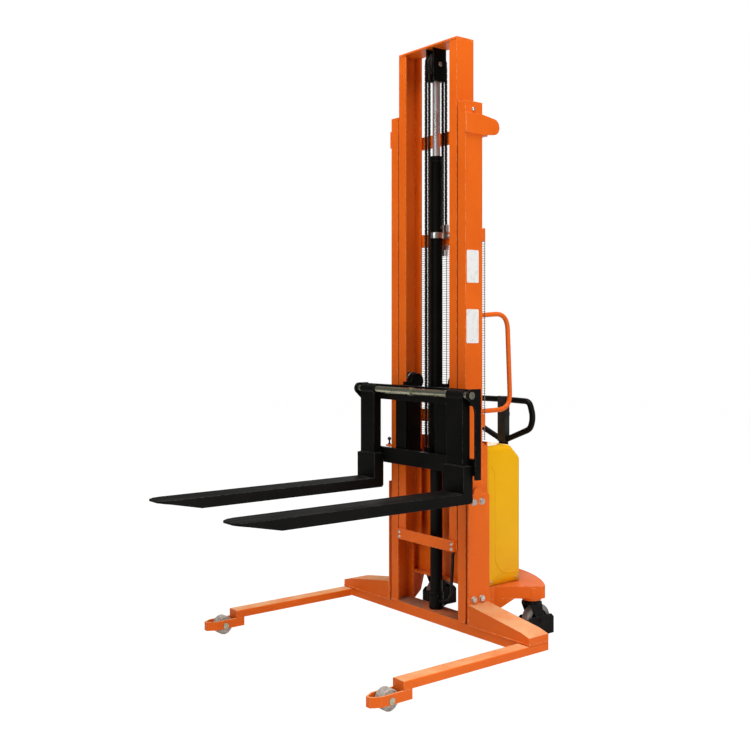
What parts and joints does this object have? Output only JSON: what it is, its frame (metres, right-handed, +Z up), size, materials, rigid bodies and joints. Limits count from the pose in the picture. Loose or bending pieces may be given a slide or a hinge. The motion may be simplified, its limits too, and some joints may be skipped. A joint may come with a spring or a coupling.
{
  "type": "walkie stacker",
  "caption": "Straddle walkie stacker with a two-stage chain-lifted mast, hook-on forks, wide straddle legs, rear power unit, tiller and swivel casters.",
  "frame": {"origin": "middle of the floor footprint of the whole machine, on the floor", "axes": "+Z up, the forks and straddle legs point towards -Y, +X is the side of the grab handle (the driver's left when standing at the tiller facing the forks is +X)"},
  "size_m": [1.248, 1.697, 2.636],
  "materials": {
    "orange_paint": "gloss industrial enamel, lightly worn at edges",
    "black_paint": "satin black enamel",
    "yellow_plastic": "moulded, slightly glossy",
    "ground_steel": "ground bar, light oil",
    "chrome_rod": "hard chrome, polished",
    "zinc": "zinc plated",
    "roller_steel": "greased machined steel",
    "chain_steel": "oiled leaf chain",
    "nylon": "off-white nylon, scuffed",
    "black_plastic": "moulded, fine grain",
    "grey_plastic": "moulded",
    "red_plastic": "moulded",
    "hose_rubber": "ribbed rubber cover",
    "tread": "polyurethane tread on an aluminium-grey hub",
    "wire_steel": "black enamelled wire mesh"
  },
  "bodies": {
    "chassis": {"base_beam": "orange_paint", "left_leg": "orange_paint", "right_leg": "orange_paint", "wedge_gussets": "orange_paint", "roller_brackets": "orange_paint", "load_roller_axles": "ground_steel", "left_side_plate": "orange_paint", "right_side_plate": "orange_paint", "side_plate_bolts": "zinc", "outer_mast_left": "orange_paint", "outer_mast_right": "orange_paint", "chain_crossbar": "orange_paint", "lower_crossbar": "orange_paint", "upper_tie": "orange_paint", "mast_slide_pads": "nylon", "mesh_guard": "wire_steel", "grab_handle": "orange_paint", "cylinder_barrel": "black_paint", "cylinder_clamp": "zinc", "hydraulic_hose": "hose_rubber", "rear_chain_anchors": "zinc", "rear_platform": "orange_paint", "platform_gussets": "orange_paint", "back_panel": "orange_paint", "power_cover": "yellow_plastic", "batteries": "black_plastic", "oil_tank": "black_plastic", "pump_motor": "black_paint", "lever_bracket": "orange_paint", "tiller_bracket": "black_paint", "lift_chain_rear": "chain_steel"},
    "inner_mast": {"inner_mast_left": "orange_paint", "inner_mast_right": "orange_paint", "inner_top_plate": "orange_paint", "inner_bottom_strap": "orange_paint", "piston_rod": "chrome_rod", "pulley_block": "black_paint", "lift_chain_front": "chain_steel"},
    "mast_rollers": {"mast_rollers": "roller_steel"},
    "chain_pulley": {"chain_pulley": "roller_steel"},
    "carriage": {"carriage_frame": "black_paint", "carriage_uprights": "black_paint", "fork_shaft": "ground_steel"},
    "upper_carriage_rollers": {"upper_carriage_rollers": "roller_steel"},
    "lower_carriage_rollers": {"lower_carriage_rollers": "roller_steel"},
    "left_fork": {"left_fork": "black_paint"},
    "right_fork": {"right_fork": "black_paint"},
    "left_load_roller": {"left_load_roller": "nylon"},
    "right_load_roller": {"right_load_roller": "nylon"},
    "left_caster": {"left_caster_fork": "black_paint"},
    "right_caster": {"right_caster_fork": "black_paint"},
    "left_caster_wheel": {"left_caster_wheel": "tread"},
    "right_caster_wheel": {"right_caster_wheel": "tread"},
    "tiller": {"tiller_column": "black_paint", "tiller_loop": "black_paint", "tiller_head": "black_plastic"},
    "thumb_rocker": {"thumb_rocker": "grey_plastic"},
    "valve_lever": {"valve_lever": "black_plastic"},
    "key_switch": {"key_switch": "zinc"},
    "emergency_stop": {"emergency_stop": "red_plastic"}
  },
  "joints": [
    {"name": "mast_lift", "type": "slide", "parent": "chassis", "child": "inner_mast", "axis": [0, 0, 1], "range_m": [-0.284, 1.43], "deforming": ["lift_chain_rear"]},
    {"name": "carriage_lift", "type": "slide", "parent": "inner_mast", "child": "carriage", "axis": [0, 0, 1], "range_m": [-0.284, 1.43], "deforming": ["lift_chain_front"]},
    {"name": "pulley_spin", "type": "hinge", "parent": "inner_mast", "child": "chain_pulley", "pos_m": [0, 0.3915, 2.558], "axis": [1, 0, 0], "continuous": true},
    {"name": "mast_roller_spin", "type": "hinge", "parent": "inner_mast", "child": "mast_rollers", "pos_m": [0, 0.3865, 0.468], "axis": [1, 0, 0], "continuous": true},
    {"name": "upper_roller_spin", "type": "hinge", "parent": "carriage", "child": "upper_carriage_rollers", "pos_m": [0, 0.3865, 1.13], "axis": [1, 0, 0], "continuous": true},
    {"name": "lower_roller_spin", "type": "hinge", "parent": "carriage", "child": "lower_carriage_rollers", "pos_m": [0, 0.3865, 0.79], "axis": [1, 0, 0], "continuous": true},
    {"name": "left_fork_slide", "type": "slide", "parent": "carriage", "child": "left_fork", "axis": [1, 0, 0], "range_m": [-0.014, 0.22]},
    {"name": "right_fork_slide", "type": "slide", "parent": "carriage", "child": "right_fork", "axis": [1, 0, 0], "range_m": [-0.22, 0.014]},
    {"name": "left_load_roller_spin", "type": "hinge", "parent": "chassis", "child": "left_load_roller", "pos_m": [-0.59, -0.3685, 0.04], "axis": [1, 0, 0], "continuous": true},
    {"name": "right_load_roller_spin", "type": "hinge", "parent": "chassis", "child": "right_load_roller", "pos_m": [0.59, -0.3685, 0.04], "axis": [1, 0, 0], "continuous": true},
    {"name": "left_caster_swivel", "type": "hinge", "parent": "chassis", "child": "left_caster", "pos_m": [-0.32, 0.6715, 0], "axis": [0, 0, 1], "continuous": true},
    {"name": "left_caster_wheel_spin", "type": "hinge", "parent": "left_caster", "child": "left_caster_wheel", "pos_m": [-0.32, 0.6985, 0.075], "axis": [1, 0, 0], "continuous": true},
    {"name": "right_caster_swivel", "type": "hinge", "parent": "chassis", "child": "right_caster", "pos_m": [0.32, 0.6715, 0], "axis": [0, 0, 1], "continuous": true},
    {"name": "right_caster_wheel_spin", "type": "hinge", "parent": "right_caster", "child": "right_caster_wheel", "pos_m": [0.32, 0.6985, 0.075], "axis": [1, 0, 0], "continuous": true},
    {"name": "tiller_tilt", "type": "hinge", "parent": "chassis", "child": "tiller", "pos_m": [0, 0.8205, 0.3], "axis": [-1, 0, 0], "range_deg": [0, 75], "stiffness_Nm_per_rad": 60},
    {"name": "thumb_rocker_pivot", "type": "hinge", "parent": "tiller", "child": "thumb_rocker", "pos_m": [0, 0.842, 0.966], "axis": [1, 0, 0], "range_deg": [-15, 15], "stiffness_Nm_per_rad": 0.6},
    {"name": "valve_lever_pull", "type": "slide", "parent": "chassis", "child": "valve_lever", "axis": [0, 0, 1], "range_m": [0, 0.012], "stiffness_N_per_m": 500},
    {"name": "key_turn", "type": "hinge", "parent": "chassis", "child": "key_switch", "pos_m": [-0.07, 0.6649, 0.8184], "axis": [0, 0.6899, 0.7239], "range_deg": [0, 90]},
    {"name": "stop_push", "type": "slide", "parent": "chassis", "child": "emergency_stop", "axis": [0, -0.6899, -0.7239], "range_m": [0, 0.006], "stiffness_N_per_m": 2000}
  ],
  "couplings": [
    {"joint": "carriage_lift", "follows": "mast_lift", "ratio": 1},
    {"joint": "pulley_spin", "follows": "mast_lift", "rad_per_m": -20},
    {"joint": "mast_roller_spin", "follows": "mast_lift", "rad_per_m": -24},
    {"joint": "upper_roller_spin", "follows": "mast_lift", "rad_per_m": 24},
    {"joint": "lower_roller_spin", "follows": "mast_lift", "rad_per_m": -24}
  ]
}
